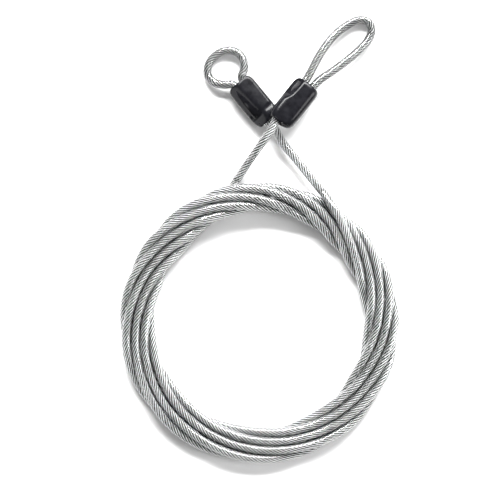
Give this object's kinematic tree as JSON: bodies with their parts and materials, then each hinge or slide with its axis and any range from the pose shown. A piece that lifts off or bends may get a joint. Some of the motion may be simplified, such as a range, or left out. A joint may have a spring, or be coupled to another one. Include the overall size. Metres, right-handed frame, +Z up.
{
  "type": "cable lock",
  "caption": "Coiled double-loop security cable: clear-jacketed steel rope whose crossed ends close in eyes under black crimp covers.",
  "frame": {"origin": "middle of the whole object's footprint, on the surface that the coil lies on", "axes": "+Z up, square to the coil; +Y from the coil towards the two eyes; +X towards the long eye"},
  "size_m": [0.11, 0.1756, 0.0131],
  "materials": {
    "jacketed_cable": "galvanised wire rope under a smooth clear glossy vinyl jacket",
    "wire_rope": "bare galvanised steel wire rope",
    "ferrule": "plain drawn aluminium with pressed crimp bands",
    "cover": "glossy black vinyl drawn over the ferrule"
  },
  "bodies": {
    "coil": {"cable_coil": "jacketed_cable"},
    "left_end": {"tail_left": "jacketed_cable", "rope_main_leg_left": "wire_rope", "rope_return_leg_left": "wire_rope", "ferrule_left": "ferrule", "cover_left": "cover", "eye_jacket_left": "jacketed_cable", "eye_rope_left": "wire_rope"},
    "right_end": {"tail_right": "jacketed_cable", "rope_main_leg_right": "wire_rope", "rope_return_leg_right": "wire_rope", "ferrule_right": "ferrule", "cover_right": "cover", "eye_jacket_right": "jacketed_cable", "eye_rope_right": "wire_rope"}
  },
  "joints": [
    {"name": "left_end_swing", "type": "hinge", "parent": "coil", "child": "left_end", "pos_m": [0.0246, 0.01859, 0.0051], "axis": [0, 0, 1], "range_deg": [0, 20], "stiffness_Nm_per_rad": 0.01},
    {"name": "right_end_swing", "type": "hinge", "parent": "coil", "child": "right_end", "pos_m": [-0.009, 0.02319, 0.0019], "axis": [0, 0, 1], "range_deg": [-20, 0], "stiffness_Nm_per_rad": 0.01}
  ]
}
